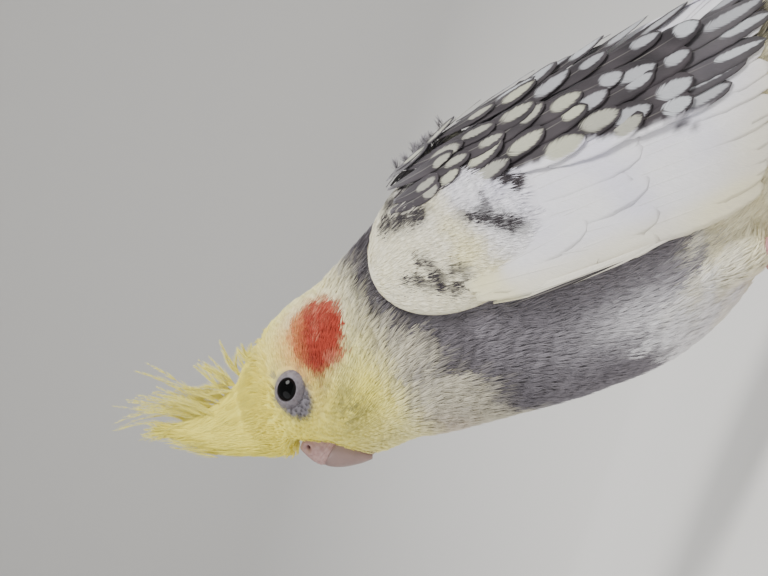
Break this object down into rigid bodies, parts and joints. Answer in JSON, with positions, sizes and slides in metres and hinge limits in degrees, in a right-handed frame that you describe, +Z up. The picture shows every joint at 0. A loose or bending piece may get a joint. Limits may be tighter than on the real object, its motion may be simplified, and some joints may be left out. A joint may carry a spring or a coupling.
{
  "type": "cockatiel model",
  "caption": "Small crested parrot standing with folded wings, raised crest, bowed head, short hooked bill, long pointed tail and feet with two toes forward and two back.",
  "frame": {"origin": "on the floor, under the middle of the bird's box", "axes": "+X the way the bird faces, +Y its left, +Z up"},
  "size_m": [0.3156, 0.059, 0.1631],
  "materials": {
    "yellow_feathers": "soft pale yellow feathers",
    "cream_feathers": "soft cream feathers",
    "grey_feathers": "soft grey feathers with fine hair-like barbs",
    "white_feathers": "smooth white feathers with dark grey pearl markings towards the back",
    "bill": "satin grey-pink horn",
    "skin": "pink skin, scaly on the legs and toes",
    "eye": "glossy and nearly black",
    "claw": "brown-grey horn"
  },
  "bodies": {
    "root": {"head": "yellow_feathers", "neck": "cream_feathers", "torso": "grey_feathers", "cere": "skin", "beak_upper": "bill", "beak_lower": "bill", "eye_left": "eye", "eye_right": "eye", "tail": "cream_feathers", "wing_left": "white_feathers", "wing_right": "white_feathers", "thigh_left": "cream_feathers", "shank_left": "skin", "foot_left": "skin", "claw_left_front_outer": "claw", "claw_left_front_inner": "claw", "claw_left_back_outer": "claw", "claw_left_back_inner": "claw", "thigh_right": "cream_feathers", "shank_right": "skin", "foot_right": "skin", "claw_right_front_outer": "claw", "claw_right_front_inner": "claw", "claw_right_back_outer": "claw", "claw_right_back_inner": "claw"}
  },
  "joints": []
}
